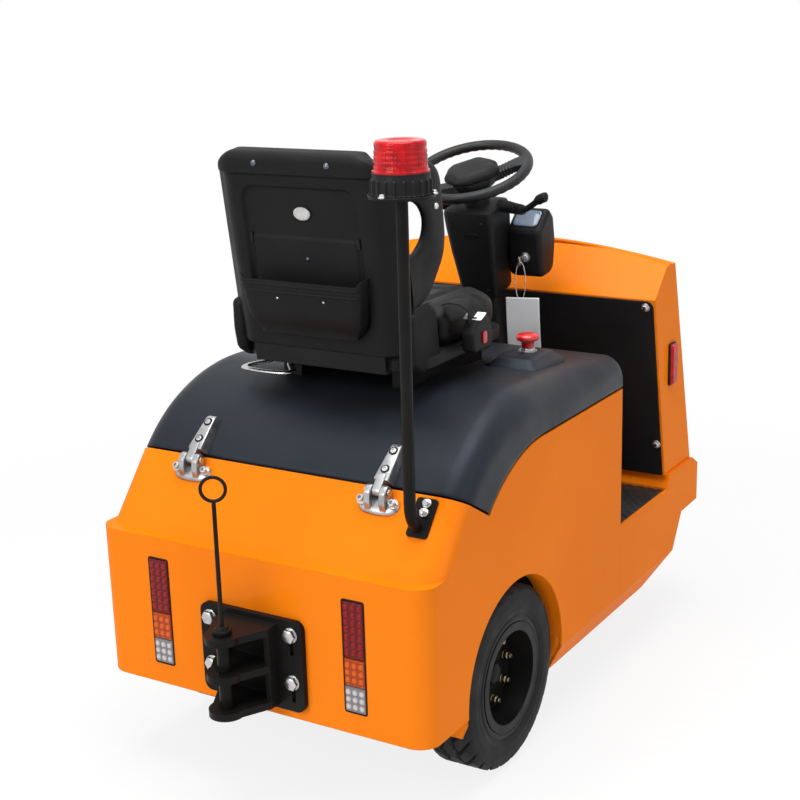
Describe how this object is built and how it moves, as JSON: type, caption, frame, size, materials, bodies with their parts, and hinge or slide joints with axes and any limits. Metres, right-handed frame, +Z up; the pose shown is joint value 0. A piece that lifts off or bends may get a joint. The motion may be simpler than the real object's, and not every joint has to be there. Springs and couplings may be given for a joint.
{
  "type": "electric tow tractor",
  "caption": "Compact three-wheel electric tow tractor: steel body, tilting battery hood with seat, front cowl with steering column, rear tow jaw with lifting pin, warning beacon on a pole.",
  "frame": {"origin": "on the floor, below the middle of the overall box", "axes": "+Y forward, +X to the driver's right, +Z up"},
  "size_m": [0.76, 1.465, 1.278],
  "materials": {
    "orange_paint": "gloss",
    "black_hood": "satin, fine grain",
    "black_plastic": "fine grain",
    "black_vinyl": "grained vinyl",
    "black_steel": "semi-gloss black",
    "cast_alloy": "cast, satin",
    "zinc_steel": "zinc plated",
    "rubber_mat": "ribbed",
    "tyre_rubber": "matte",
    "red_lens": "clear gloss",
    "amber_lens": "clear gloss",
    "clear_lens": "clear gloss",
    "red_button": "gloss",
    "battery_case": "satin"
  },
  "bodies": {
    "chassis": {"body_shell": "orange_paint", "step_frame": "orange_paint", "front_cowl": "orange_paint", "inner_panel": "black_plastic", "steering_column": "black_plastic", "instrument_pod": "black_plastic", "control_stalks": "black_plastic", "beacon_base": "black_plastic", "chassis_tray": "black_steel", "drive_axle": "black_steel", "pedals": "black_steel", "tow_jaw": "black_steel", "beacon_pole": "black_steel", "hinge_lugs": "cast_alloy", "ignition_key": "zinc_steel", "floor_mat": "rubber_mat", "marker_lamps": "red_lens", "tail_lamps_red": "red_lens", "beacon_lens": "red_lens", "tail_lamps_amber": "amber_lens", "tail_lamps_clear": "clear_lens", "headlamps": "clear_lens", "battery": "battery_case"},
    "left_wheel": {"rim_left": "black_steel", "tyre_left": "tyre_rubber"},
    "right_wheel": {"rim_right": "black_steel", "tyre_right": "tyre_rubber"},
    "steer_fork": {"front_fork": "black_steel"},
    "front_wheel": {"front_rim": "black_steel", "front_tyre": "tyre_rubber"},
    "hand_wheel": {"steering_wheel": "black_plastic"},
    "hood_lid": {"hood": "black_hood", "hinge_arms": "cast_alloy", "stop_button": "red_button", "seat_base": "black_steel", "seat_pan": "black_plastic", "seat_cushion": "black_vinyl", "backrest_shell": "black_plastic", "backrest_pad": "black_vinyl", "document_pocket": "black_plastic", "hip_restraints": "black_plastic", "seat_belt": "black_plastic", "slide_handle": "zinc_steel"},
    "pin": {"tow_pin": "black_steel"}
  },
  "joints": [
    {"name": "left_wheel_spin", "type": "hinge", "parent": "chassis", "child": "left_wheel", "pos_m": [-0.313, -0.2515, 0.19], "axis": [1, 0, 0], "continuous": true},
    {"name": "right_wheel_spin", "type": "hinge", "parent": "chassis", "child": "right_wheel", "pos_m": [0.313, -0.2515, 0.19], "axis": [1, 0, 0], "continuous": true},
    {"name": "front_steer", "type": "hinge", "parent": "chassis", "child": "steer_fork", "pos_m": [0, 0.4675, 0.32], "axis": [0, 0, 1], "range_deg": [-65, 65]},
    {"name": "front_wheel_spin", "type": "hinge", "parent": "steer_fork", "child": "front_wheel", "pos_m": [0, 0.4675, 0.145], "axis": [1, 0, 0], "continuous": true},
    {"name": "steering_wheel_turn", "type": "hinge", "parent": "chassis", "child": "hand_wheel", "pos_m": [0, 0.2775, 1.115], "axis": [0, -0.3584, 0.9336], "range_deg": [-390, 390]},
    {"name": "hood_tilt", "type": "hinge", "parent": "chassis", "child": "hood_lid", "pos_m": [0, -0.49081, 0.63386], "axis": [1, 0, 0], "range_deg": [0, 50]},
    {"name": "tow_pin_lift", "type": "slide", "parent": "chassis", "child": "pin", "axis": [0, 0, 1], "range_m": [0, 0.2]}
  ],
  "couplings": [
    {"joint": "steering_wheel_turn", "follows": "front_steer", "ratio": 6}
  ]
}
